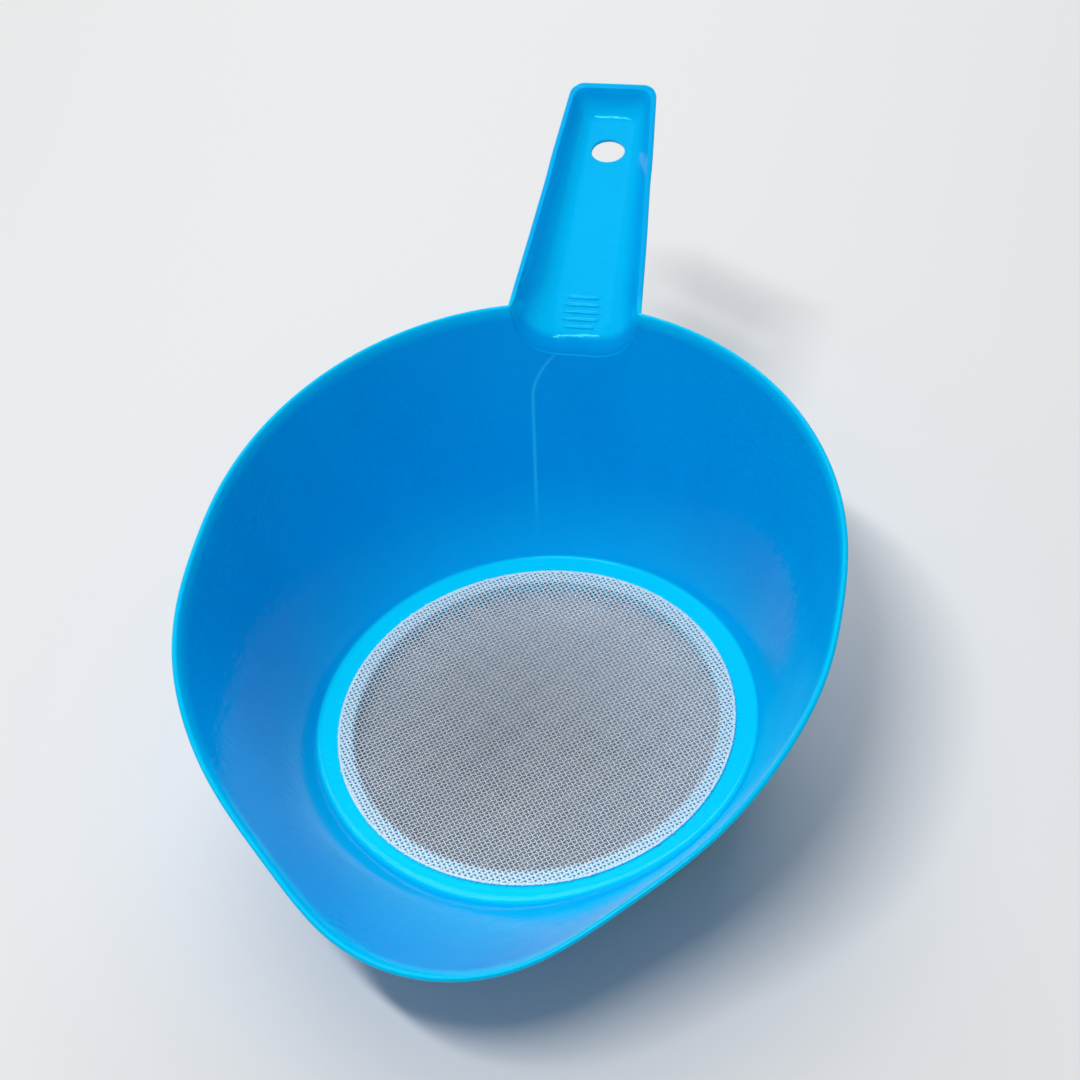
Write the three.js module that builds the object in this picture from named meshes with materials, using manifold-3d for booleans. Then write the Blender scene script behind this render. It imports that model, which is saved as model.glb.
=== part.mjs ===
// Double sieve strainer: a moulded plastic scoop with a pouring lip and a trough handle, and two layers of
// woven mesh clamped under its base. Millimetres, +Z up, +Y towards the handle, X across.
// The base circle is centred on the Z axis while the model is drawn, and the whole object is shifted at the
// end so that its origin is the middle of its footprint.
import * as THREE from 'three';
import { mergeVertices } from 'three/addons/utils/BufferGeometryUtils.js';
import { ParametricGeometry } from 'three/addons/geometries/ParametricGeometry.js';
import Module from 'manifold-3d';

const wasm = await Module();
wasm.setup();

// Rim: two half circles with short straight sides between them, drawn out to a smaller round lip by straight
// tangents. The rim slopes gently down from the handle, and dips further at the lip.
const RIM_RADIUS = 110;
const BACK_CENTRE_Y = 4;
const FRONT_CENTRE_Y = -12;
const LIP_RADIUS = 66;
const LIP_REACH = 135.5;
const RIM_HEIGHT = 91;
const RIM_SLOPE = 0.14;
const LIP_DIP = 19.5;
const LIP_DIP_START_Y = -45;
const LIP_DIP_END_Y = -145;
const RIM_STEPS = 108;

// Bowl wall and its rounded edge, which is a little thicker than the wall
const WALL = 1.8;
const EDGE_RADIUS = 1;
const WALL_STEPS = 3;
const BLEND_STEPS = 3;

// Base: the flange that carries the mesh, and the foot skirt below it. A curve blends the flange into the
// wall, and it is longer under the lip.
const BASE_RADIUS = 79;
const BASE_BLEND = 2;
const LIP_BLEND = 6;
const SIEVE_OPENING_RADIUS = 66;
const FLANGE_TOP = 9.2;
const FLANGE_THICKNESS = 2.4;
const SKIRT_INNER_RADIUS = 76.4;
const SKIRT_OUTER_RADIUS = 79;

// Sieves and the rings between and under them
const GAP = 0.3;
const UPPER_SIEVE_RADIUS = 71.5;
const SIEVE_THICKNESS = 0.4;
const LOWER_SIEVE_RADIUS = 75;
const RING_OUTER_RADIUS = 76;
const RETAINING_RING_HEIGHT = 2.4;
const RETAINING_RING_LIFT = 0.6;
const DISC_STEPS = 72;

// Handle: an open trough whose edges rise away from the rim, a little wider round its hanging hole. Its ends
// follow the round rim, and straighten over BEND_LENGTH.
const HANDLE_END_Y = 199.5;
const HANDLE_END_HEIGHT = 141.5;
const HANDLE_WALL = 1.9;
const HANDLE_FLOOR = 2;
const HANDLE_EDGE_ROUNDING = 0.6;
const ROOT = { halfTop: 24.5, halfFloor: 14, depth: 13.5, fillet: 5 };
const END = { halfTop: 15.9, halfFloor: 9.5, depth: 9.2, fillet: 4 };
const END_CORNER_RADIUS = 4.2;
const END_FLOOR_RADIUS = 3;
const BEND_LENGTH = 30;
const HANDLE_STEPS = 8;
const ARC_STEPS = 5;
const END_BULGE = 0.35;
const END_BULGE_LENGTH = 27;
const END_BULGE_RAMP = 14;

// Mouth of the trough: its section turns into a round U over the last stretch, and grows again where it rolls
// over into the bowl
const ROOT_EASE = { length: 16, halfFloor: 4.5, fillet: 8 };
const MOUTH_FLARE = { halfTop: 0.8, halfFloor: 3, depth: 4, fillet: 4 };
const MOUTH_ROLL = 4.5;

// Hanging hole and thumb ribs, both in the floor of the trough
const HOLE = { fromEnd: 16, halfWidth: 6.3, halfLength: 4.7 };
const RIBS = { count: 5, fromRoot: 4.1, pitch: 2.65, height: 0.5, width: 1.5, longest: 15, shortest: 9 };

// How far the cutting bodies reach past the faces that they cut
const OVERCUT = 8;

const plastic = new THREE.MeshStandardMaterial({ color: 0x0a8fe0, roughness: 0.22, metalness: 0 });
const steel = new THREE.MeshStandardMaterial({ color: 0xa9b3bd, roughness: 0.35, metalness: 0.9 });

// Solids and meshes

function toSolid(geometry) {
  geometry.deleteAttribute('normal');
  geometry.deleteAttribute('uv');
  const merged = mergeVertices(geometry, 1e-4);
  const index = merged.index.array;
  const triangles = [];
  for (let i = 0; i < index.length; i += 3) {
    const [a, b, c] = [index[i], index[i + 1], index[i + 2]];
    if (a !== b && b !== c && c !== a) triangles.push(a, b, c);
  }
  return new wasm.Manifold(new wasm.Mesh({
    numProp: 3,
    vertProperties: new Float32Array(merged.attributes.position.array),
    triVerts: new Uint32Array(triangles),
  }));
}

function toMesh(solid, name, material) {
  const { vertProperties, triVerts } = solid.getMesh();
  const geometry = new THREE.BufferGeometry();
  geometry.setAttribute('position', new THREE.BufferAttribute(vertProperties, 3));
  geometry.setIndex(new THREE.BufferAttribute(triVerts, 1));
  geometry.computeVertexNormals();
  const mesh = new THREE.Mesh(geometry, material);
  mesh.name = name;
  return mesh;
}

// A closed body from rings of points: ring(j) gives the points of one ring, all rings have the same count,
// and the last ring joins the first
function loopOfRings(ring, ringCount) {
  const rings = Array.from({ length: ringCount }, (_, j) => ring(j));
  const pointCount = rings[0].length;
  const surface = (u, v, target) => {
    const j = Math.round(u * ringCount) % ringCount;
    target.copy(rings[j][Math.round(v * pointCount) % pointCount]);
  };
  return toSolid(new ParametricGeometry(surface, ringCount, pointCount));
}

// A closed body from rings of points in a row, with its two ends drawn together to their middle points
function rowOfRings(rings) {
  const middle = (ring) => ring.reduce((sum, p) => sum.add(p), new THREE.Vector3()).divideScalar(ring.length);
  const first = rings[0].map(() => middle(rings[0]));
  const last = rings[0].map(() => middle(rings.at(-1)));
  const all = [first, ...rings, last];
  const pointCount = rings[0].length;
  const surface = (u, v, target) => {
    target.copy(all[Math.round(u * (all.length - 1))][Math.round(v * pointCount) % pointCount]);
  };
  return toSolid(new ParametricGeometry(surface, all.length - 1, pointCount));
}

function ringBody(innerRadius, outerRadius, bottom, top) {
  const profile = [[innerRadius, bottom], [outerRadius, bottom], [outerRadius, top], [innerRadius, top],
    [innerRadius, bottom]].map(([r, z]) => new THREE.Vector2(r, z));
  return toSolid(new THREE.LatheGeometry(profile, DISC_STEPS));
}

function discBody(radius, bottom, top) {
  const profile = [[0, bottom], [radius, bottom], [radius, top], [0, top]]
    .map(([r, z]) => new THREE.Vector2(r, z));
  return toSolid(new THREE.LatheGeometry(profile, DISC_STEPS));
}

// LatheGeometry turns about Y, so its axis is laid onto Z
function upright(solid) {
  return solid.rotate([90, 0, 0]);
}

// Bowl

function rimOutline() {
  const lipCentreY = LIP_RADIUS - LIP_REACH;
  const tangent = Math.asin((LIP_RADIUS - RIM_RADIUS) / (FRONT_CENTRE_Y - lipCentreY));
  const outline = new THREE.Path();
  outline.absarc(0, BACK_CENTRE_Y, RIM_RADIUS, Math.PI / 2, Math.PI);
  outline.absarc(0, FRONT_CENTRE_Y, RIM_RADIUS, Math.PI, Math.PI - tangent);
  outline.absarc(0, lipCentreY, LIP_RADIUS, Math.PI - tangent, 2 * Math.PI + tangent);
  outline.absarc(0, FRONT_CENTRE_Y, RIM_RADIUS, tangent, 0);
  outline.absarc(0, BACK_CENTRE_Y, RIM_RADIUS, 0, Math.PI / 2);
  return outline.getSpacedPoints(RIM_STEPS).slice(0, RIM_STEPS);
}

function rimHeight(y) {
  const dip = THREE.MathUtils.smoothstep(-y, -LIP_DIP_START_Y, -LIP_DIP_END_Y);
  return RIM_HEIGHT + RIM_SLOPE * y - LIP_DIP * dip;
}

// The wall's section in one radial plane, as (distance from the axis, height), round the plastic. The wall
// runs straight from the flange's outer corner to its rounded edge.
function wallSection(rimDistance, rimZ, blend) {
  const at = (distance, height) => new THREE.Vector2(distance, height);
  const corner = at(BASE_RADIUS, FLANGE_TOP);
  const edge = at(rimDistance - EDGE_RADIUS, rimZ - EDGE_RADIUS);
  const up = edge.clone().sub(corner).normalize();
  const out = at(up.y, -up.x);
  const moved = (from, direction, distance) => from.clone().addScaledVector(direction, distance);
  const straight = (low, high) =>
    Array.from({ length: WALL_STEPS + 1 }, (_, i) => low.clone().lerp(high, i / WALL_STEPS));
  const roundEdge = [1, 2, 3].map((quarter) => {
    const angle = quarter * Math.PI / 4;
    return moved(moved(edge, out, EDGE_RADIUS * Math.cos(angle)), up, EDGE_RADIUS * Math.sin(angle));
  });
  const innerLow = moved(corner, up, blend);
  const curve = new THREE.QuadraticBezierCurve(innerLow, corner, at(BASE_RADIUS - blend, FLANGE_TOP));
  return [
    at(SIEVE_OPENING_RADIUS, FLANGE_TOP - FLANGE_THICKNESS),
    at(SKIRT_INNER_RADIUS, FLANGE_TOP - FLANGE_THICKNESS),
    at(SKIRT_INNER_RADIUS, 0),
    at(SKIRT_OUTER_RADIUS, 0),
    ...straight(moved(corner, out, WALL), moved(edge, out, EDGE_RADIUS)),
    ...roundEdge,
    ...straight(innerLow, moved(edge, out, -EDGE_RADIUS)).reverse(),
    ...curve.getPoints(BLEND_STEPS).slice(1),
    at(SIEVE_OPENING_RADIUS, FLANGE_TOP),
  ];
}

function bowlBody() {
  const outline = rimOutline();
  return loopOfRings((j) => {
    const point = outline[j];
    const direction = point.clone().normalize();
    const towardsLip = THREE.MathUtils.smoothstep(-direction.y, 0, 1);
    const blend = THREE.MathUtils.lerp(BASE_BLEND, LIP_BLEND, towardsLip);
    return wallSection(point.length(), rimHeight(point.y), blend)
      .map(({ x, y }) => new THREE.Vector3(direction.x * x, direction.y * x, y));
  }, RIM_STEPS);
}

// Handle

const RIM_BACK_Y = BACK_CENTRE_Y + RIM_RADIUS;
const ROOT_HEIGHT = rimHeight(RIM_BACK_Y);
const WALL_LEAN = (RIM_BACK_Y - WALL - BASE_RADIUS) / (ROOT_HEIGHT - FLANGE_TOP);

// Half of a trough's section at one place, as [x, depth below the handle's edge]: side, fillet and floor
function troughSide({ halfTop, halfFloor, depth, fillet }) {
  const corner = new THREE.Vector2(halfFloor, -depth);
  const side = new THREE.Vector2(halfTop, 0).sub(corner).setLength(fillet).add(corner);
  const floor = new THREE.Vector2(halfFloor - fillet, -depth);
  return new THREE.QuadraticBezierCurve(side, corner, floor).getPoints(ARC_STEPS);
}

// A whole ring of the trough, from its left edge under the floor to its right edge, placed at y
function troughRing(section, topEdge, y, bend) {
  const right = [...topEdge(section), ...troughSide(section).map((p) => [p.x, p.y])];
  const left = right.map(([x, z]) => [-x, z]);
  const edgeZ = handleEdge(y);
  return [...left, ...right.reverse()].map(([x, z]) =>
    new THREE.Vector3(x, y + WALL_LEAN * z - bend * x * x / (2 * RIM_RADIUS), edgeZ + z));
}

// How far a ring at y still follows the round rim: 1 where the handle starts, 0 past the bend
function bendAt(y, startY) {
  return 1 - THREE.MathUtils.smoothstep(y, startY, startY + BEND_LENGTH);
}

function handleEdge(y) {
  const slope = (HANDLE_END_HEIGHT - ROOT_HEIGHT) / (HANDLE_END_Y - RIM_BACK_Y);
  return ROOT_HEIGHT + slope * (y - RIM_BACK_Y);
}

// The handle's section at y: ROOT at the rim, rounded further by ROOT_EASE, END at the far end, and a little
// wider round the hanging hole
function sectionAt(y, grow) {
  const t = (y - RIM_BACK_Y) / (HANDLE_END_Y - RIM_BACK_Y);
  const mix = (key) => THREE.MathUtils.lerp(ROOT[key], END[key], t);
  const bulgeY = HANDLE_END_Y - END_BULGE_LENGTH;
  const bulge = END_BULGE * THREE.MathUtils.smoothstep(y, bulgeY - END_BULGE_RAMP, bulgeY);
  const ease = 1 - THREE.MathUtils.smoothstep(y, RIM_BACK_Y, RIM_BACK_Y + ROOT_EASE.length);
  return {
    halfTop: mix('halfTop') + bulge - grow.side,
    halfFloor: mix('halfFloor') + bulge + ROOT_EASE.halfFloor * ease + (grow.floor > 0 ? HANDLE_WALL : 0),
    depth: mix('depth') + grow.floor,
    fillet: mix('fillet') + ROOT_EASE.fillet * ease,
  };
}

// How far a quarter arc of this radius has drawn in, at a distance from where it ends
function drawnIn(radius, fromEnd) {
  const into = Math.max(radius - fromEnd, 0);
  return radius - Math.sqrt(Math.max(radius * radius - into * into, 0));
}

// Places along the handle: evenly up to the end's rounding, then by equal angles round it
function stationsTo(startY, endY) {
  const roundingY = endY - END_CORNER_RADIUS;
  const stations = [];
  for (let i = 0; i < HANDLE_STEPS; i += 1) stations.push(startY + (roundingY - startY) * i / HANDLE_STEPS);
  for (let i = 0; i <= ARC_STEPS; i += 1) {
    stations.push(roundingY + END_CORNER_RADIUS * Math.sin(i / ARC_STEPS * Math.PI / 2));
  }
  return stations;
}

// The most of the floor's half width that its fillet may take up
const FILLET_SHARE = 0.9;

// The section with the end's rounded corners and rounded floor taken off it
function roundedEnd(section, fromEnd) {
  const side = drawnIn(END_CORNER_RADIUS, fromEnd);
  const floor = drawnIn(END_FLOOR_RADIUS, fromEnd);
  return {
    halfTop: section.halfTop - side,
    halfFloor: section.halfFloor - side,
    depth: section.depth - floor,
    fillet: Math.min(section.fillet, (section.halfFloor - side) * FILLET_SHARE),
  };
}

function handleShell() {
  const startY = RIM_BACK_Y - WALL / 2;
  const softEdge = ({ halfTop }) => [[halfTop - HANDLE_EDGE_ROUNDING, 0], [halfTop, -HANDLE_EDGE_ROUNDING]];
  return rowOfRings(stationsTo(startY, HANDLE_END_Y).map((y) => {
    const section = roundedEnd(sectionAt(y, { side: 0, floor: HANDLE_FLOOR }), HANDLE_END_Y - y);
    return troughRing(section, softEdge, y, bendAt(y, startY));
  }));
}

// The hollow of the trough: it flares where it breaks through the bowl's wall, so that the floor and the
// sides roll over into the bowl
function handleHollow() {
  const endY = HANDLE_END_Y - HANDLE_WALL;
  const mouthY = RIM_BACK_Y - WALL;
  const topEdge = ({ halfTop }) => [[halfTop, OVERCUT]];
  const ringAt = (y, flareShare) => {
    const section = roundedEnd(sectionAt(y, { side: HANDLE_WALL, floor: 0 }), endY - y);
    for (const key of Object.keys(MOUTH_FLARE)) section[key] += flareShare * MOUTH_FLARE[key];
    return troughRing(section, topEdge, y, bendAt(y, mouthY));
  };
  const rings = [ringAt(mouthY - OVERCUT, 1)];
  for (let i = 0; i < ARC_STEPS; i += 1) {
    const angle = (i / ARC_STEPS) * Math.PI / 2;
    rings.push(ringAt(mouthY + MOUTH_ROLL * (1 - Math.cos(angle)), 1 - Math.sin(angle)));
  }
  for (const y of stationsTo(mouthY + MOUTH_ROLL, endY)) rings.push(ringAt(y, 0));
  return rowOfRings(rings);
}

// The floor of the trough at y: its height, and the angle at which it rises
function floorAt(y) {
  const { depth } = sectionAt(y, { side: 0, floor: 0 });
  return handleEdge(y) - depth;
}

const FLOOR_PITCH = Math.atan2(floorAt(HANDLE_END_Y) - floorAt(RIM_BACK_Y), HANDLE_END_Y - RIM_BACK_Y);

function placedOnFloor(geometry, y) {
  geometry.rotateX(FLOOR_PITCH);
  geometry.translate(0, y + WALL_LEAN * (floorAt(y) - handleEdge(y)), floorAt(y));
  return toSolid(geometry);
}

function hangingHole() {
  const oval = new THREE.Shape();
  oval.absellipse(0, 0, HOLE.halfWidth, HOLE.halfLength, 0, 2 * Math.PI);
  const geometry = new THREE.ExtrudeGeometry(oval,
    { depth: 2 * OVERCUT, bevelEnabled: false, curveSegments: 12 });
  geometry.translate(0, 0, -OVERCUT);
  return placedOnFloor(geometry, HANDLE_END_Y - HOLE.fromEnd);
}

function thumbRibs() {
  const ribs = [];
  for (let i = 0; i < RIBS.count; i += 1) {
    const across = (i - (RIBS.count - 1) / 2) / (RIBS.count / 2);
    const length = RIBS.shortest + (RIBS.longest - RIBS.shortest) * Math.sqrt(1 - across * across);
    const rib = new THREE.CylinderGeometry(RIBS.width / 2, RIBS.width / 2, length, 8);
    rib.rotateZ(Math.PI / 2);
    rib.scale(1, 1, RIBS.height / (RIBS.width / 2));
    ribs.push(placedOnFloor(rib, RIM_BACK_Y + RIBS.fromRoot + i * RIBS.pitch));
  }
  return ribs;
}

function scoopBody() {
  let body = bowlBody().add(handleShell()).subtract(handleHollow()).subtract(hangingHole());
  for (const rib of thumbRibs()) body = body.add(rib);
  return body;
}

// Assembly, from the table upwards

const RETAINING_RING_TOP = RETAINING_RING_LIFT + RETAINING_RING_HEIGHT;
const LOWER_SIEVE_BOTTOM = RETAINING_RING_TOP + GAP;
const SPACER_BOTTOM = LOWER_SIEVE_BOTTOM + SIEVE_THICKNESS + GAP;
const SPACER_TOP = FLANGE_TOP - FLANGE_THICKNESS - GAP;
const UPPER_SIEVE_BOTTOM = FLANGE_TOP + GAP;

const strainer = new THREE.Group();
strainer.add(
  toMesh(scoopBody(), 'scoop_body', plastic),
  toMesh(upright(discBody(UPPER_SIEVE_RADIUS, UPPER_SIEVE_BOTTOM, UPPER_SIEVE_BOTTOM + SIEVE_THICKNESS)),
    'upper_sieve', steel),
  toMesh(upright(ringBody(SIEVE_OPENING_RADIUS, RING_OUTER_RADIUS, SPACER_BOTTOM, SPACER_TOP)),
    'spacer_ring', plastic),
  toMesh(upright(discBody(LOWER_SIEVE_RADIUS, LOWER_SIEVE_BOTTOM, LOWER_SIEVE_BOTTOM + SIEVE_THICKNESS)),
    'lower_sieve', steel),
  toMesh(upright(ringBody(SIEVE_OPENING_RADIUS, RING_OUTER_RADIUS, RETAINING_RING_LIFT, RETAINING_RING_TOP)),
    'retaining_ring', plastic),
);

// The origin is moved to the middle of the footprint
strainer.position.y = -(HANDLE_END_Y - LIP_REACH) / 2;

export default strainer;
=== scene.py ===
"""Double sieve strainer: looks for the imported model. Metres, +Z up, +Y towards the handle."""
import math

import bmesh
import bpy
import numpy as np
from mathutils import Matrix, Vector


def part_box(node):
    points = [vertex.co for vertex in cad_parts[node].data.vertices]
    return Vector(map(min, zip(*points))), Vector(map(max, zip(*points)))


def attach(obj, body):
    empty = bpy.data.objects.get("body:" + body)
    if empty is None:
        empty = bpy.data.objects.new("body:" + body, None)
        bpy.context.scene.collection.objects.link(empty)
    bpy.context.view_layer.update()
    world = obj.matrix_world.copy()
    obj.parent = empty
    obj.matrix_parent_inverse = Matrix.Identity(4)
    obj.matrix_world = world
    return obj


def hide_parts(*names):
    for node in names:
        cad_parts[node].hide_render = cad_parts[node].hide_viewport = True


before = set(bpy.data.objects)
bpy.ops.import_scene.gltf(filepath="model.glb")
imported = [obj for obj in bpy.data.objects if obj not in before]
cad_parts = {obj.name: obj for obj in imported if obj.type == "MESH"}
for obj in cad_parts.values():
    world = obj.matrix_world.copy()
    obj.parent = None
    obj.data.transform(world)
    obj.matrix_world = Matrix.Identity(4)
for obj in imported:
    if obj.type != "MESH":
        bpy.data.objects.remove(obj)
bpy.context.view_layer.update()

MM = 0.001
sieve_low, sieve_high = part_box("upper_sieve")
AXIS_Y = (sieve_low.y + sieve_high.y) / 2 / MM   # the base circle's centre, in millimetres of the row frame

# Rim and bowl, in millimetres from the base circle's centre
RIM_RADIUS = 110.0
BACK_CENTRE_Y = 4.0
FRONT_CENTRE_Y = -12.0
LIP_RADIUS = 66.0
LIP_REACH = 135.5
RIM_HEIGHT = 91.0
RIM_SLOPE = 0.14
LIP_DIP = 19.5
LIP_DIP_FROM, LIP_DIP_TO = 45.0, 145.0
WALL = 1.8
EDGE_RADIUS = 1.0

# Base
BASE_RADIUS = 79.0
BASE_BLEND = 2.0
LIP_BLEND = 6.0
SIEVE_OPENING_RADIUS = 66.0
FLANGE_TOP = 9.2
FLANGE_THICKNESS = 2.4
SKIRT_INNER_RADIUS = 76.4
SKIRT_OUTER_RADIUS = 79.0

# Handle
HANDLE_END_Y = 199.5
HANDLE_END_HEIGHT = 141.5
HANDLE_WALL = 1.9
HANDLE_FLOOR = 2.0
ROOT = {"half_top": 24.5, "half_floor": 14.0, "depth": 13.5, "fillet": 5.0}
END = {"half_top": 15.9, "half_floor": 9.5, "depth": 9.2, "fillet": 4.0}
END_CORNER_RADIUS = 4.2
END_FLOOR_RADIUS = 3.0
FILLET_SHARE = 0.9   # the most of the floor's half width that its fillet may take up
BEND_LENGTH = 30.0
END_BULGE = 0.35
END_BULGE_LENGTH = 27.0
END_BULGE_RAMP = 14.0
ROOT_EASE = {"length": 16.0, "half_floor": 4.5, "fillet": 8.0}
MOUTH_FLARE = {"half_top": 0.8, "half_floor": 3.0, "depth": 4.0, "fillet": 4.0}
MOUTH_ROLL = 4.5
OVERCUT = 8.0
HOLE = {"from_end": 16.0, "half_width": 6.3, "half_length": 4.7}
RIBS = {"count": 5, "from_root": 4.1, "pitch": 2.65, "height": 0.5, "width": 1.6, "longest": 15.0,
        "shortest": 9.0}

# Small eased edges, and the angle past which an edge between faces stays sharp, in degrees
SKIRT_EASE = 0.5
OPENING_EASE = 0.4
RING_EASE = 0.35
HANDLE_EDGE_EASE = {"whole": 0.7, "middle": 0.2}
SHARP_FROM = 32.0
RING_SHARP_FROM = 50.0

# How much of the painted glow, painted light in the plastic's colour, shows at the rim, at the handle's
# edges, in the trough and low on the wall
RIM_GLOW = 0.55
HANDLE_EDGE_GLOW = 0.2
TROUGH_GLOW = 0.45
LOW_WALL_GLOW = 0.3

# Where each of these glows starts and where it is full: heights from the rim, from the handle's edge, from
# the flange and from the table, distances past the bowl's wall, and shares of the trough's depth
RIM_GLOW_HEIGHTS = (-5.0, -2.2)
HANDLE_EDGE_HEIGHTS = (-2.2, -0.6)
FLANGE_HEIGHTS = (BASE_BLEND, 0.2)
LOW_WALL_HEIGHTS = (50.0, FLANGE_TOP)
TROUGH_PAST_WALL = (-0.5, 1.5)
TROUGH_DEPTHS = (0.05, 0.7)

# How far in from the rim, and how far in front of its back, vertices can still belong to each of them
RIM_GLOW_WIDTH = 6.0
HANDLE_EDGE_BEFORE = 4.0
TROUGH_BEFORE = 12.0

# A pale streak down the back wall: its place, where and how sharply it hooks towards the trough, how much of
# it shows, how far in from the wall's foot it begins, and the heights where it fades in and where it stops
PALE_STREAK = {"x": -16.4, "hook_from": 72.0, "hook": 0.031, "half_width": 1.1, "strength": 0.6,
             "before_wall": 6.0, "fades_in": (12.0, 45.0), "stops": (90.0, 86.0)}

# Camera, in degrees and millimetres: it looks at a point given from the base circle's centre, and its focal
# length is in sensor widths
CAMERA = {"azimuth": 18.88, "elevation": 45.79, "roll": -8.67, "distance": 716.6,
          "target": (-1.74, 39.62, 60.0), "sensor": 36.0, "focal": 2036.0 / 1080.0}

# Light, in metres and watts: each lamp's place, size and power, all aimed at one point, and the world's light
LAMPS = {
    "back_window": ((-0.2, 1.4, 0.95), (1.5, 0.6), 10.5),
    "ceiling_strip": ((-0.25, -0.42, 1.4), (0.7, 0.08), 11.5),
    "overhead_fill": ((-0.35, 0.4, 1.5), (0.9, 0.9), 3.5),
}
LAMP_AIM = (0.0, 0.0, 0.05)
WORLD_COLOUR = (0.94, 0.97, 1.0, 1.0)
WORLD_STRENGTH = 0.28

# Floor, in metres: it lies just under the object
FLOOR_HALF = 4.0
FLOOR_DROP = 0.0002
FLOOR_COLOUR = (0.77, 0.77, 0.77, 1.0)

# Colours of the plastic, plain, with painted light as a glow, and along a pale streak, and of wire pressed
# into it, whitish partly from painted light
BODY_COLOURS = ((0.0, 0.335, 0.8, 1.0), (0.0, 0.375, 0.85, 1.0))
# Painted light: the colour that the painted glow turns the plastic towards
PAINTED_GLOW_COLOUR = (0.0, 0.68, 1.0, 1.0)
PALE_STREAK_COLOUR = (0.02, 0.62, 1.0, 1.0)
# Whitish wire sealed into the plastic, partly painted light from the flange below
PRESSED_AND_LIT_COLOUR = (0.75, 0.92, 0.98, 1.0)

# Wires: how dark and how light they get, how much of that their unevenness and their painted sheen (painted
# light) make up, how metallic they are, and how their roughness spreads
UPPER_WIRE_COLOUR = (0.84, 0.88, 0.92)
LOWER_WIRE_COLOUR = (0.62, 0.66, 0.7)
WIRE_TONES = (0.68, 1.25)
UNEVEN_SHARE = 0.4
PAINTED_SHEEN_SHARE = 0.75
WIRE_METAL = 0.5
WIRE_ROUGHNESS = (0.35, 0.5)

# How finely the pieces are drawn
RIM_STEPS = 300
RIM_EASE_POINTS = 9
WALL_STEPS = 22
ARC_STEPS = 10
HANDLE_STEPS = 26
SIDE_STEPS = 5
FLOOR_STEPS = 3
HOLE_STEPS = 48
RIB_STEPS = 14
RIB_SIDES = 12
LATHE_STEPS = 180

RIM_BACK_Y = BACK_CENTRE_Y + RIM_RADIUS
ROOT_HEIGHT = RIM_HEIGHT + RIM_SLOPE * RIM_BACK_Y
WALL_LEAN = (RIM_BACK_Y - WALL - BASE_RADIUS) / (ROOT_HEIGHT - FLANGE_TOP)


def smoothstep(x, low, high):
    t = np.clip((x - low) / (high - low), 0, 1)
    return t * t * (3 - 2 * t)


def mix(a, b, t):
    return a + (b - a) * t


# ---------------------------------------------------------------- camera, floor and light

def make_camera():
    """The photograph's viewing angle: from the front right, well above, and rolled a little."""
    azimuth, elevation, roll = (math.radians(CAMERA[key]) for key in ("azimuth", "elevation", "roll"))
    distance, target = CAMERA["distance"] * MM, (Vector(CAMERA["target"]) + Vector((0, AXIS_Y, 0))) * MM
    back = Vector((math.sin(azimuth) * math.cos(elevation), -math.cos(azimuth) * math.cos(elevation),
                   math.sin(elevation)))
    data = bpy.data.cameras.new("camera")
    data.sensor_width = CAMERA["sensor"]
    data.lens = CAMERA["sensor"] * CAMERA["focal"]
    camera = bpy.data.objects.new("camera", data)
    right = (-back).cross(Vector((0, 0, 1))).normalized()
    up = right.cross(-back)
    rolled_right = right * math.cos(roll) + up * math.sin(roll)
    rolled_up = up * math.cos(roll) - right * math.sin(roll)
    turn = Matrix((rolled_right, rolled_up, back)).transposed().to_4x4()
    camera.matrix_world = Matrix.Translation(target + back * distance) @ turn
    data.clip_start, data.clip_end = 0.01, 20.0
    bpy.context.scene.collection.objects.link(camera)
    bpy.context.scene.camera = camera


def area_light(name, place, size, watts):
    data = bpy.data.lights.new(name, "AREA")
    data.shape, data.energy = "RECTANGLE", watts
    data.size, data.size_y = size
    light = bpy.data.objects.new(name, data)
    light.location = place
    light.rotation_euler = (Vector(LAMP_AIM) - Vector(place)).to_track_quat("-Z", "Y").to_euler()
    bpy.context.scene.collection.objects.link(light)


def make_stage():
    bpy.context.scene.view_settings.view_transform = "Standard"
    world = bpy.data.worlds.new("studio")
    bpy.context.scene.world = world
    world.use_nodes = True
    background = world.node_tree.nodes["Background"]
    background.inputs["Color"].default_value = WORLD_COLOUR
    background.inputs["Strength"].default_value = WORLD_STRENGTH
    for name, (place, size, watts) in LAMPS.items():
        area_light(name, place, size, watts)
    mesh = bpy.data.meshes.new("floor")
    corners = [(x * FLOOR_HALF, y * FLOOR_HALF, 0) for x, y in ((-1, -1), (1, -1), (1, 1), (-1, 1))]
    mesh.from_pydata(corners, [], [(0, 1, 2, 3)])
    floor = bpy.data.objects.new("floor", mesh)
    floor.location.z = -FLOOR_DROP
    material, _, shader = new_material("floor_paper")
    shader.inputs["Base Color"].default_value = FLOOR_COLOUR
    shader.inputs["Roughness"].default_value = 0.7
    mesh.materials.append(material)
    bpy.context.scene.collection.objects.link(floor)


# ---------------------------------------------------------------- materials

def new_material(name):
    material = bpy.data.materials.new(name)
    material.use_nodes = True
    return material, material.node_tree, material.node_tree.nodes["Principled BSDF"]


def node(tree, kind, **values):
    """A new node with values set on its sockets, or on the node itself where no socket has that name."""
    made = tree.nodes.new(kind)
    for key, value in values.items():
        if key in made.inputs:
            made.inputs[key].default_value = value
        else:
            setattr(made, key, value)
    return made


def blended(tree, factor, first, second):
    """first turns into the fixed colour second as factor goes from 0 to 1."""
    blend = tree.nodes.new("ShaderNodeMix")
    blend.data_type = "RGBA"
    blend.inputs["B"].default_value = second
    tree.links.new(factor, blend.inputs["Factor"])
    tree.links.new(first, blend.inputs["A"])
    return blend.outputs["Result"]


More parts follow.
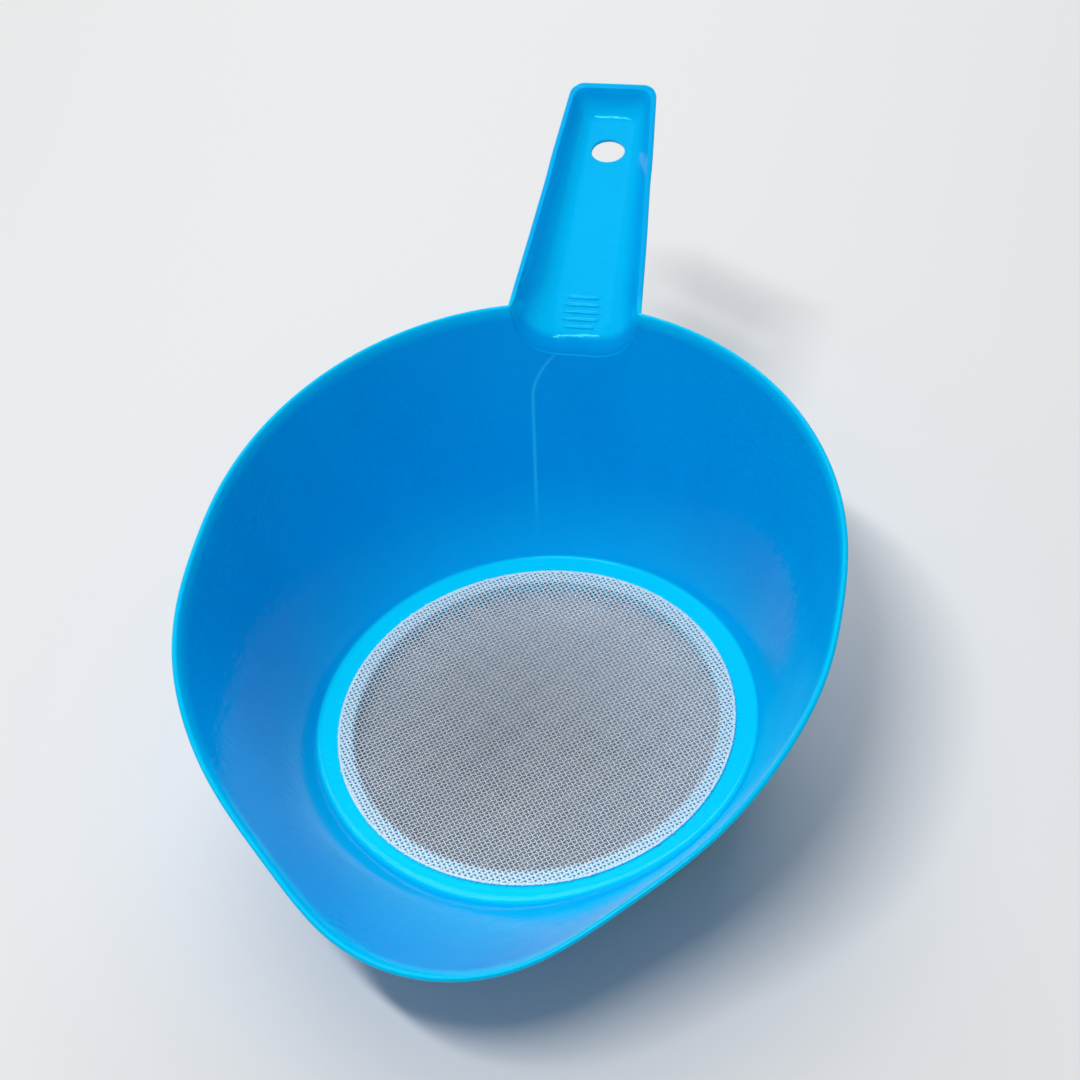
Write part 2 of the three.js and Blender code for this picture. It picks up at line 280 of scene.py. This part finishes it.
def maths(tree, operation, first, second=0.0):
    """A maths node on two values, each a number or another node's output."""
    made = tree.nodes.new("ShaderNodeMath")
    made.operation = operation
    for socket, value in zip(made.inputs, (first, second)):
        if isinstance(value, float):
            socket.default_value = value
        else:
            tree.links.new(value, socket)
    return made.outputs["Value"]


def ramp(tree, value, start, end):
    """0 at start and 1 at end, smoothly."""
    made = node(tree, "ShaderNodeMapRange", interpolation_type="SMOOTHSTEP")
    made.inputs["From Min"].default_value, made.inputs["From Max"].default_value = start, end
    tree.links.new(value, made.inputs["Value"])
    return made.outputs["Result"]


def pale_streak(tree, place):
    """How much of the pale streak shows: down the back wall, and hooked towards the trough at its top."""
    split = tree.nodes.new("ShaderNodeSeparateXYZ")
    tree.links.new(place.outputs["Object"], split.inputs["Vector"])
    x, y, z = (split.outputs[axis] for axis in "XYZ")
    above = maths(tree, "MAXIMUM", maths(tree, "SUBTRACT", z, PALE_STREAK["hook_from"] * MM))
    hook = maths(tree, "MULTIPLY", maths(tree, "POWER", above, 2.0), PALE_STREAK["hook"] / MM)
    off_line = maths(tree, "ABSOLUTE", maths(tree, "SUBTRACT", maths(tree, "SUBTRACT", x, hook),
                                             PALE_STREAK["x"] * MM))
    line = ramp(tree, off_line, PALE_STREAK["half_width"] * MM, 0.0)
    wall_y = AXIS_Y + BASE_RADIUS
    at_back = ramp(tree, y, (wall_y - PALE_STREAK["before_wall"]) * MM, wall_y * MM)
    fade = ramp(tree, z, *(height * MM for height in PALE_STREAK["fades_in"]))
    below = ramp(tree, z, *(height * MM for height in PALE_STREAK["stops"]))
    shown = maths(tree, "MULTIPLY", line, at_back)
    for part in (fade, below, PALE_STREAK["strength"]):
        shown = maths(tree, "MULTIPLY", shown, part)
    return shown


def plastic_material():
    """Glossy, slightly translucent blue polypropylene: painted light lightens it as a glow at its edges,
    trough and low wall, and its tone is a little uneven.
    """
    material, tree, shader = new_material("blue_polypropylene")
    link = tree.links.new
    shader.inputs["Roughness"].default_value = 0.13
    shader.inputs["IOR"].default_value = 1.28
    shader.inputs["Specular Tint"].default_value = (0.1, 0.8, 1.0, 1.0)
    shader.inputs["Subsurface Weight"].default_value = 0.25
    shader.inputs["Subsurface Radius"].default_value = (0.15, 0.6, 1.0)
    shader.inputs["Subsurface Scale"].default_value = 0.004
    place = tree.nodes.new("ShaderNodeTexCoord")
    stretch = node(tree, "ShaderNodeMapping", vector_type="POINT")
    stretch.inputs["Scale"].default_value = (30.0, 30.0, 8.0)
    flow = node(tree, "ShaderNodeTexNoise", Scale=1.0, Detail=3.0, Roughness=0.55)
    link(place.outputs["Object"], stretch.inputs["Vector"])
    link(stretch.outputs["Vector"], flow.inputs["Vector"])
    body = tree.nodes.new("ShaderNodeValToRGB")
    body.color_ramp.elements[0].position, body.color_ramp.elements[1].position = 0.3, 0.75
    body.color_ramp.elements[0].color, body.color_ramp.elements[1].color = BODY_COLOURS
    link(flow.outputs["Fac"], body.inputs["Fac"])
    # Painted light: a painted glow lightens the body colour at the rim, flange, handle's edges, trough and
    # low wall
    glow = node(tree, "ShaderNodeAttribute", attribute_name="painted_glow")
    edge = blended(tree, glow.outputs["Fac"], body.outputs["Color"], PAINTED_GLOW_COLOUR)
    lined = blended(tree, pale_streak(tree, place), edge, PALE_STREAK_COLOUR)
    link(lined, shader.inputs["Base Color"])
    skin = node(tree, "ShaderNodeTexNoise", Scale=330.0, Detail=1.0)
    link(place.outputs["Object"], skin.inputs["Vector"])
    relief = node(tree, "ShaderNodeBump", Strength=0.2, Distance=0.0006)
    link(skin.outputs["Fac"], relief.inputs["Height"])
    link(relief.outputs["Normal"], shader.inputs["Normal"])
    return material


def wire_material(name, colour):
    """Drawn stainless wire, a little uneven in tone and polish, with a painted sheen that grows away from a
    painted darker spot, and whitish where pressed into plastic, partly as painted light.
    """
    material, tree, shader = new_material(name)
    link = tree.links.new
    place = tree.nodes.new("ShaderNodeTexCoord")
    noise = node(tree, "ShaderNodeTexNoise", Scale=45.0, Detail=4.0)
    link(place.outputs["Object"], noise.inputs["Vector"])
    painted_sheen = node(tree, "ShaderNodeAttribute", attribute_name="painted_sheen")
    uneven = maths(tree, "MULTIPLY", noise.outputs["Fac"], UNEVEN_SHARE)
    # Painted light: the painted sheen lightens the wires away from the painted shade spot
    painted_shine = maths(tree, "MULTIPLY", painted_sheen.outputs["Fac"], PAINTED_SHEEN_SHARE)
    tone = tree.nodes.new("ShaderNodeValToRGB")
    for element, share in zip(tone.color_ramp.elements, WIRE_TONES):
        element.color = (*[min(c * share, 1.0) for c in colour], 1.0)
    link(maths(tree, "ADD", uneven, painted_shine), tone.inputs["Fac"])
    pressed = node(tree, "ShaderNodeAttribute", attribute_name="pressed")
    # Where pressed into the plastic the wires turn whitish and lose their metal; the whitish colour is partly
    # painted light from the flange below
    sealed_and_lit = blended(tree, pressed.outputs["Fac"], tone.outputs["Color"], PRESSED_AND_LIT_COLOUR)
    link(sealed_and_lit, shader.inputs["Base Color"])
    metal = node(tree, "ShaderNodeMapRange")
    metal.inputs["To Min"].default_value, metal.inputs["To Max"].default_value = WIRE_METAL, 0.0
    link(pressed.outputs["Fac"], metal.inputs["Value"])
    link(metal.outputs["Result"], shader.inputs["Metallic"])
    polish = node(tree, "ShaderNodeMapRange")
    polish.inputs["To Min"].default_value, polish.inputs["To Max"].default_value = WIRE_ROUGHNESS
    link(noise.outputs["Fac"], polish.inputs["Value"])
    link(polish.outputs["Result"], shader.inputs["Roughness"])
    return material


# ---------------------------------------------------------------- mesh helpers

def add_object(name, points, faces, material):
    """An object from points in millimetres round the base axis."""
    mesh = bpy.data.meshes.new(name)
    moved = (np.asarray(points, float) + (0, AXIS_Y, 0)) * MM
    mesh.from_pydata(moved.tolist(), [], faces)
    mesh.validate()
    mesh.materials.append(material)
    made = bpy.data.objects.new(name, mesh)
    bpy.context.scene.collection.objects.link(made)
    return made


def grid_faces(rings, count, closed):
    """Quads over closed rings of count points, with the last ring joined to the first if closed."""
    faces = []
    for j in range(rings if closed else rings - 1):
        a, b = j * count, ((j + 1) % rings) * count
        faces += [(a + i, b + i, b + (i + 1) % count, a + (i + 1) % count) for i in range(count)]
    return faces


def bezier(start, corner, end):
    """A curve from start to end that leaves and arrives along the lines to corner."""
    shares = [i / ARC_STEPS for i in range(ARC_STEPS + 1)]
    return [(1 - t) ** 2 * start + 2 * t * (1 - t) * corner + t * t * end for t in shares]


def set_values(made, name, values):
    """A value for each vertex, for the material to read."""
    layer = made.data.attributes.new(name, "FLOAT", "POINT")
    layer.data.foreach_set("value", np.asarray(values, np.float32))


def face_outwards(made):
    shape = bmesh.new()
    shape.from_mesh(made.data)
    bmesh.ops.recalc_face_normals(shape, faces=shape.faces)
    shape.to_mesh(made.data)
    shape.free()


def soften(made, degrees):
    """Smooth shading, with sharp edges kept where faces meet at more than this angle."""
    made.data.shade_smooth()
    made.data.set_sharp_from_angle(angle=math.radians(degrees))


def combine(made, other, operation):
    """Cuts or joins another object, which is then removed."""
    step = made.modifiers.new("combine", "BOOLEAN")
    step.operation, step.object, step.solver = operation, other, "EXACT"
    bpy.context.view_layer.update()
    graph = bpy.context.evaluated_depsgraph_get()
    result = bpy.data.meshes.new_from_object(made.evaluated_get(graph))
    made.modifiers.clear()
    made.data = result
    bpy.data.objects.remove(other)


# ---------------------------------------------------------------- bowl

def arc(centre_y, radius, start, end, steps=200):
    angles = np.linspace(start, end, steps)
    return np.c_[radius * np.cos(angles), centre_y + radius * np.sin(angles)]


def rim_outline():
    """Plan of the rim: back and front half circles, straight tangents and the lip, evenly spaced, with the
    corners between them eased over RIM_EASE_POINTS each way."""
    lip_y = LIP_RADIUS - LIP_REACH
    tangent = math.asin((LIP_RADIUS - RIM_RADIUS) / (FRONT_CENTRE_Y - lip_y))
    dense = np.vstack([
        arc(BACK_CENTRE_Y, RIM_RADIUS, math.pi / 2, math.pi),
        arc(FRONT_CENTRE_Y, RIM_RADIUS, math.pi, math.pi - tangent),
        arc(lip_y, LIP_RADIUS, math.pi - tangent, 2 * math.pi + tangent),
        arc(FRONT_CENTRE_Y, RIM_RADIUS, tangent, 0),
        arc(BACK_CENTRE_Y, RIM_RADIUS, 0, math.pi / 2),
    ])
    length = np.r_[0, np.cumsum(np.hypot(*np.diff(dense, axis=0).T))]
    at = np.linspace(0, length[-1], RIM_STEPS, endpoint=False)
    even = np.c_[np.interp(at, length, dense[:, 0]), np.interp(at, length, dense[:, 1])]
    weights = np.hanning(2 * RIM_EASE_POINTS + 3)[1:-1]
    weights /= weights.sum()
    return sum(w * np.roll(even, k - RIM_EASE_POINTS, axis=0) for k, w in enumerate(weights))


def rim_height(y):
    return RIM_HEIGHT + RIM_SLOPE * y - LIP_DIP * smoothstep(-y, LIP_DIP_FROM, LIP_DIP_TO)


def wall_section(rim, height, blend):
    """The wall's section in one radial plane, as [distance, height], round the plastic."""
    corner = np.array((BASE_RADIUS, FLANGE_TOP))
    edge = np.array((rim - EDGE_RADIUS, height - EDGE_RADIUS))
    up = (edge - corner) / np.linalg.norm(edge - corner)
    out = np.array((up[1], -up[0]))
    under = FLANGE_TOP - FLANGE_THICKNESS
    section = [(SIEVE_OPENING_RADIUS, under), (SKIRT_INNER_RADIUS, under), (SKIRT_INNER_RADIUS, SKIRT_EASE),
               (SKIRT_INNER_RADIUS + SKIRT_EASE, 0.0), (SKIRT_OUTER_RADIUS - SKIRT_EASE, 0.0),
               (SKIRT_OUTER_RADIUS, SKIRT_EASE)]
    steps = [i / WALL_STEPS for i in range(WALL_STEPS + 1)]
    low, high = corner + WALL * out, edge + EDGE_RADIUS * out
    section += [mix(low, high, t) for t in steps]
    for i in range(1, ARC_STEPS):
        a = math.pi * i / ARC_STEPS
        section.append(edge + EDGE_RADIUS * (math.cos(a) * out + math.sin(a) * up))
    low, high = corner + blend * up, edge - EDGE_RADIUS * out
    section += [mix(low, high, t) for t in reversed(steps)]
    section += bezier(low, corner, corner - (blend, 0))[1:]
    section += [(SIEVE_OPENING_RADIUS + OPENING_EASE, FLANGE_TOP),
                (SIEVE_OPENING_RADIUS, FLANGE_TOP - OPENING_EASE)]
    return section


def bowl(material):
    points, count = [], 0
    for x, y in rim_outline():
        reach = math.hypot(x, y)
        blend = mix(BASE_BLEND, LIP_BLEND, smoothstep(-y / reach, 0, 1))
        section = wall_section(reach, rim_height(y), blend)
        count = len(section)
        points += [(x / reach * r, y / reach * r, z) for r, z in section]
    made = add_object("scoop_moulding", points, grid_faces(RIM_STEPS, count, True), material)
    face_outwards(made)
    return made


# ---------------------------------------------------------------- handle

def handle_edge(y):
    return ROOT_HEIGHT + (HANDLE_END_HEIGHT - ROOT_HEIGHT) * (y - RIM_BACK_Y) / (HANDLE_END_Y - RIM_BACK_Y)


def section_at(y, side=0.0, floor=0.0):
    """The trough's section at y, with its sides drawn in by side and its floor lowered by floor."""
    t = (y - RIM_BACK_Y) / (HANDLE_END_Y - RIM_BACK_Y)
    part = {key: mix(ROOT[key], END[key], t) for key in ROOT}
    bulge_y = HANDLE_END_Y - END_BULGE_LENGTH
    bulge = END_BULGE * float(smoothstep(y, bulge_y - END_BULGE_RAMP, bulge_y))
    ease = 1 - float(smoothstep(y, RIM_BACK_Y, RIM_BACK_Y + ROOT_EASE["length"]))
    part["half_top"] += bulge - side
    part["half_floor"] += bulge + ROOT_EASE["half_floor"] * ease + (HANDLE_WALL if floor else 0.0)
    part["fillet"] += ROOT_EASE["fillet"] * ease
    part["depth"] += floor
    return part


def drawn_in(radius, from_end):
    """How far a quarter arc of this radius has drawn in, at a distance from where it ends."""
    into = max(radius - from_end, 0.0)
    return radius - math.sqrt(max(radius * radius - into * into, 0.0))


def rounded_end(part, from_end):
    side, floor = drawn_in(END_CORNER_RADIUS, from_end), drawn_in(END_FLOOR_RADIUS, from_end)
    half_floor = part["half_floor"] - side
    return {"half_top": part["half_top"] - side, "half_floor": half_floor, "depth": part["depth"] - floor,
            "fillet": min(part["fillet"], half_floor * FILLET_SHARE)}


def stations_to(start, end):
    """Places along the handle: evenly up to the end's rounding, then by equal angles round it."""
    rounding = end - END_CORNER_RADIUS
    return ([mix(start, rounding, i / HANDLE_STEPS) for i in range(HANDLE_STEPS)]
            + [rounding + END_CORNER_RADIUS * math.sin(i / ARC_STEPS * math.pi / 2)
               for i in range(ARC_STEPS + 1)])


def trough_ring(part, top, y, bend):
    """A trough section placed at y: from its left edge down, under the floor, and up to its right edge."""
    corner = np.array((part["half_floor"], -part["depth"]))
    edge = np.array((part["half_top"], min(0.0, top[-1][1])))
    reach = np.array((part["half_top"], 0.0)) - corner
    side = corner + reach / np.linalg.norm(reach) * part["fillet"]
    floor = np.array((part["half_floor"] - part["fillet"], -part["depth"]))
    right = [np.array(p) for p in top]
    right += [mix(edge, side, i / SIDE_STEPS) for i in range(1, SIDE_STEPS)]
    right += bezier(side, corner, floor)
    right += [mix(floor, floor * (0, 1), i / FLOOR_STEPS) for i in range(1, FLOOR_STEPS)]
    ring = [(-x, z) for x, z in right] + [(0.0, -part["depth"])] + [(x, z) for x, z in reversed(right)]
    height = handle_edge(y)
    return [(x, y + WALL_LEAN * z - bend * x * x / (2 * RIM_RADIUS), height + z) for x, z in ring]


def loft(name, rings, material):
    """A closed body over rings in a row, with its two ends drawn together to their middles."""
    count = len(rings[0])
    points = [p for ring in rings for p in ring]
    faces = grid_faces(len(rings), count, False)
    for ring, start in ((rings[0], 0), (rings[-1], (len(rings) - 1) * count)):
        middle = len(points)
        points.append(tuple(np.mean(ring, axis=0)))
        faces += [(start + i, start + (i + 1) % count, middle) for i in range(count)]
    made = add_object(name, points, faces, material)
    face_outwards(made)
    return made


def bend_at(y, start):
    """How far a ring at y still follows the round rim: 1 where the handle starts, 0 past the bend."""
    return 1 - float(smoothstep(y, start, start + BEND_LENGTH))


def handle_shell(material):
    start, (ease, middle) = RIM_BACK_Y - WALL / 2, HANDLE_EDGE_EASE.values()
    rings = []
    for y in stations_to(start, HANDLE_END_Y):
        part = rounded_end(section_at(y, 0.0, HANDLE_FLOOR), HANDLE_END_Y - y)
        half = part["half_top"]
        top = [(half - ease, 0.0), (half - middle, -middle), (half, -ease)]
        rings.append(trough_ring(part, top, y, bend_at(y, start)))
    return loft("handle_shell", rings, material)


def handle_hollow(material):
    """The hollow of the trough, which grows where it rolls over into the bowl."""
    end, mouth = HANDLE_END_Y - HANDLE_WALL, RIM_BACK_Y - WALL

    def ring_at(y, flare_share):
        part = rounded_end(section_at(y, HANDLE_WALL, 0.0), end - y)
        for key in MOUTH_FLARE:
            part[key] += flare_share * MOUTH_FLARE[key]
        top = [(part["half_top"], OVERCUT), (part["half_top"], 0.0)]
        return trough_ring(part, top, y, bend_at(y, mouth))

    rings = [ring_at(mouth - OVERCUT, 1.0)]
    for i in range(ARC_STEPS):
        a = i / ARC_STEPS * math.pi / 2
        rings.append(ring_at(mouth + MOUTH_ROLL * (1 - math.cos(a)), 1 - math.sin(a)))
    rings += [ring_at(y, 0.0) for y in stations_to(mouth + MOUTH_ROLL, end)]
    return loft("handle_hollow", rings, material)


def floor_height(y):
    return handle_edge(y) - section_at(y)["depth"]


FLOOR_PITCH = math.atan2(floor_height(HANDLE_END_Y) - floor_height(RIM_BACK_Y), HANDLE_END_Y - RIM_BACK_Y)


def on_floor(points, y):
    """Points drawn flat, tilted to the trough's floor and laid on it at y."""
    x, v, w = np.asarray(points, float).T
    sine, cosine = math.sin(FLOOR_PITCH), math.cos(FLOOR_PITCH)
    place_y = y + WALL_LEAN * (floor_height(y) - handle_edge(y))
    return np.c_[x, place_y + v * cosine - w * sine, floor_height(y) + v * sine + w * cosine]


# The hanging hole's cutter, as heights over the trough's floor and how much wider the hole is there, so that
# its edges are rounded at both faces
HOLE_PROFILE = ((6.0, 1.6), (0.5, 0.5), (0.15, 0.15), (-0.3, 0.0), (-1.9, 0.0), (-2.35, 0.15), (-2.7, 0.5),
                (-6.0, 1.6))


def hole_cutter(material):
    turn = [2 * math.pi * i / HOLE_STEPS for i in range(HOLE_STEPS)]
    rings = []
    for w, wider in HOLE_PROFILE:
        half_width, half_length = HOLE["half_width"] + wider, HOLE["half_length"] + wider
        flat = [(half_width * math.cos(a), half_length * math.sin(a), w) for a in turn]
        rings.append([tuple(p) for p in on_floor(flat, HANDLE_END_Y - HOLE["from_end"])])
    return loft("hole_cutter", rings, material)


# A rib's section shrinks towards its ends with this power of the distance, down to a small least share
RIB_END_POWER = 6
RIB_LEAST_SHARE = 0.02


def thumb_rib(index, material):
    """One low rib across the trough's floor, rounded over its back and at both ends."""
    across = (index - (RIBS["count"] - 1) / 2) / (RIBS["count"] / 2)
    half = mix(RIBS["shortest"], RIBS["longest"], math.sqrt(1 - across * across)) / 2
    place = RIM_BACK_Y + RIBS["from_root"] + index * RIBS["pitch"]
    turn = [2 * math.pi * k / RIB_SIDES for k in range(RIB_SIDES)]
    rings = []
    for i in range(RIB_STEPS + 1):
        t = -1 + 2 * i / RIB_STEPS
        taper = math.sqrt(max(1 - abs(t) ** RIB_END_POWER, RIB_LEAST_SHARE ** 2))
        ring = [(half * t, RIBS["width"] / 2 * taper * math.cos(a), RIBS["height"] * taper * math.sin(a))
                for a in turn]
        rings.append([tuple(p) for p in on_floor(ring, place)])
    return loft("thumb_rib", rings, material)


def mark_painted_glow(made):
    """Painted light: how strongly a painted glow lightens the plastic over the flange, rim, handle, trough
    and low on the wall.
    """
    points = np.array([v.co for v in made.data.vertices]) / MM - (0, AXIS_Y, 0)
    x, y, z = points.T
    from_axis, own_angle = np.hypot(x, y), np.arctan2(y, x)
    outline = rim_outline()
    angle = np.arctan2(outline[:, 1], outline[:, 0])
    order = np.argsort(angle)
    rim = np.interp(own_angle, angle[order], np.hypot(*outline.T)[order], period=2 * math.pi)
    near_rim = (from_axis > rim - RIM_GLOW_WIDTH) & (y < RIM_BACK_Y)
    edge = np.where(near_rim, smoothstep(z - rim_height(rim * np.sin(own_angle)), *RIM_GLOW_HEIGHTS), 0)
    handle = np.where(y > RIM_BACK_Y - HANDLE_EDGE_BEFORE,
                      smoothstep(z - handle_edge(y), *HANDLE_EDGE_HEIGHTS), 0)
    flange = np.where(from_axis < BASE_RADIUS + 0.1, smoothstep(z - FLANGE_TOP, *FLANGE_HEIGHTS), 0)
    along = np.clip((y - RIM_BACK_Y) / (HANDLE_END_Y - RIM_BACK_Y), 0, 1)
    depth = (handle_edge(y) - z) / mix(ROOT["depth"], END["depth"], along)
    wall = BASE_RADIUS + (z - FLANGE_TOP) * WALL_LEAN
    past_wall = np.hypot(x, y - BACK_CENTRE_Y / 2) - wall
    trough = np.where(y > RIM_BACK_Y - TROUGH_BEFORE,
                      smoothstep(depth, *TROUGH_DEPTHS) * smoothstep(past_wall, *TROUGH_PAST_WALL), 0)
    # Painted light: the trough's floor and the low wall are lightened as if lit, and the rim, handle's edges
    # and flange as if light shone through them
    glow = np.max((RIM_GLOW * edge, HANDLE_EDGE_GLOW * handle, TROUGH_GLOW * trough,
                   LOW_WALL_GLOW * smoothstep(z, *LOW_WALL_HEIGHTS), flange), axis=0)
    set_values(made, "painted_glow", glow)


def scoop(material):
    made = bowl(material)
    combine(made, handle_shell(material), "UNION")
    combine(made, handle_hollow(material), "DIFFERENCE")
    combine(made, hole_cutter(material), "DIFFERENCE")
    for i in range(RIBS["count"]):
        combine(made, thumb_rib(i, material), "UNION")
    mark_painted_glow(made)
    soften(made, SHARP_FROM)
    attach(made, "root")
    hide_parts("scoop_body")


# ---------------------------------------------------------------- rings

def lathe_points(section):
    """A closed section of [distance, height] turned round the base axis."""
    turns = [2 * math.pi * i / LATHE_STEPS for i in range(LATHE_STEPS)]
    return [(r * math.cos(a), r * math.sin(a), z) for a in turns for r, z in section]


def ring_piece(name, node_name, material):
    """A moulded ring with eased edges, in the box of its CAD node."""
    low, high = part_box(node_name)
    inner, outer, bottom, top = SIEVE_OPENING_RADIUS, high.x / MM, low.z / MM, high.z / MM
    ease = RING_EASE
    section = [(inner + ease, bottom), (outer - ease, bottom), (outer, bottom + ease), (outer, top - ease),
               (outer - ease, top), (inner + ease, top), (inner, top - ease), (inner, bottom + ease)]
    made = add_object(name, lathe_points(section), grid_faces(LATHE_STEPS, len(section), True), material)
    face_outwards(made)
    soften(made, RING_SHARP_FROM)
    # Painted light: the rings get the full painted glow, which also lightens their shade under the sieves
    set_values(made, "painted_glow", np.ones(len(made.data.vertices)))
    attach(made, "root")
    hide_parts(node_name)


# ---------------------------------------------------------------- woven sieves

# Each weave: its pitch, its wires' radius, its turn in degrees, how far its edge stays inside the CAD disc's,
# and whether its edge is pressed
UPPER_WEAVE = {"pitch": 1.52, "wire": 0.28, "degrees": 38.0, "radius_in": 0.3, "pressed": True}
LOWER_WEAVE = {"pitch": 1.45, "wire": 0.2, "degrees": 30.0, "radius_in": 0.5, "pressed": False}
LEAST_CUT_END = 0.1   # a wire's cut end is drawn where it is longer than this share of the pitch

# Over the flange the upper wires are pressed flat and sealed: where that starts and is full, how much wider
# they get, and the sealed edge round them
PRESSED_FROM = (64.9, 66.6)
PRESSED_WIDER = 0.9
SEALED_EDGE = {"width": 0.8, "half_height": 0.19}

# Painted light: the mesh is painted darkest here, and its wires get a painted sheen that grows with the
# distance from it
PAINTED_SHADE_SPOT = {"x": -8.0, "y": -22.0, "reach": 85.0}


def woven_wires(radius, pitch, wire, height, turn, along_x):
    """All the wires of one direction: zigzags over and under the crossing wires, as four-sided rods."""
    points, faces = [], []
    reach = int(radius / pitch)
    for i in range(-reach, reach + 1):
        offset = i * pitch
        chord = math.sqrt(max(radius * radius - offset * offset, 0.0)) / pitch
        half = int(chord)
        if half < 1:
            continue
        k = np.arange(-half, half + 1)
        over = wire * np.where((k + i) % 2 == 0, 1.0, -1.0) * (1.0 if along_x else -1.0)
        if chord - half > LEAST_CUT_END:
            k = np.r_[-chord, k, chord]
            over = np.r_[0.0, over, 0.0]
        start = len(points)
        for step, lift in zip(k, over):
            flat = 1 + PRESSED_WIDER * float(smoothstep(math.hypot(step * pitch, offset), *PRESSED_FROM))
            for side, rise in ((1, 0), (0, 1), (-1, 0), (0, -1)):
                a, b = step * pitch, offset + side * wire * flat
                x, y = (a, b) if along_x else (b, a)
                points.append((x * math.cos(turn) - y * math.sin(turn),
                               x * math.sin(turn) + y * math.cos(turn), height + lift + rise * wire))
        rods = len(k) - 1
        for s in range(rods):
            a, b = start + 4 * s, start + 4 * s + 4
            faces += [(a + c, a + (c + 1) % 4, b + (c + 1) % 4, b + c) for c in range(4)]
        last = start + 4 * rods
        faces += [(start, start + 3, start + 2, start + 1), (last, last + 1, last + 2, last + 3)]
    return points, faces


def sieve(name, node_name, slot_name, material, pitch, wire, degrees, radius_in, pressed):
    """A woven disc in the place of its CAD disc."""
    low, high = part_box(node_name)
    radius, middle = high.x / MM - radius_in, (low.z + high.z) / 2 / MM
    turn = math.radians(degrees)
    first, first_faces = woven_wires(radius, pitch, wire, middle, turn, True)
    second, second_faces = woven_wires(radius, pitch, wire, middle, turn, False)
    shift = len(first)
    points = first + second
    faces = first_faces + [tuple(v + shift for v in f) for f in second_faces]
    if pressed:
        inner, half = radius - SEALED_EDGE["width"], SEALED_EDGE["half_height"]
        section = [(inner, middle - half), (radius, middle - half),
                   (radius, middle + half), (inner, middle + half)]
        shift = len(points)
        points = points + lathe_points(section)
        faces += [tuple(v + shift for v in f) for f in grid_faces(LATHE_STEPS, len(section), True)]
    made = add_object(name, points, faces, material)
    face_outwards(made)
    made.data.shade_smooth()
    x, y = np.array(points)[:, :2].T
    from_painted_shade = np.hypot(x - PAINTED_SHADE_SPOT["x"], y - PAINTED_SHADE_SPOT["y"])
    # Painted sheen: painted light on the wires, lighter with the distance from the painted shade spot
    set_values(made, "painted_sheen", (from_painted_shade / PAINTED_SHADE_SPOT["reach"]) ** 2)
    if pressed:
        set_values(made, "pressed", smoothstep(np.hypot(x, y), *PRESSED_FROM))
    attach(made, "root")
    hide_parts(node_name)


# ---------------------------------------------------------------- build

make_camera()
make_stage()
plastic = plastic_material()
scoop(plastic)
ring_piece("spacer_ring_moulding", "spacer_ring", plastic)
ring_piece("retaining_ring_moulding", "retaining_ring", plastic)
sieve("upper_woven_sieve", "upper_sieve", "upper_mesh", wire_material("upper_wire", UPPER_WIRE_COLOUR),
      **UPPER_WEAVE)
sieve("lower_woven_sieve", "lower_sieve", "lower_mesh", wire_material("lower_wire", LOWER_WIRE_COLOUR),
      **LOWER_WEAVE)
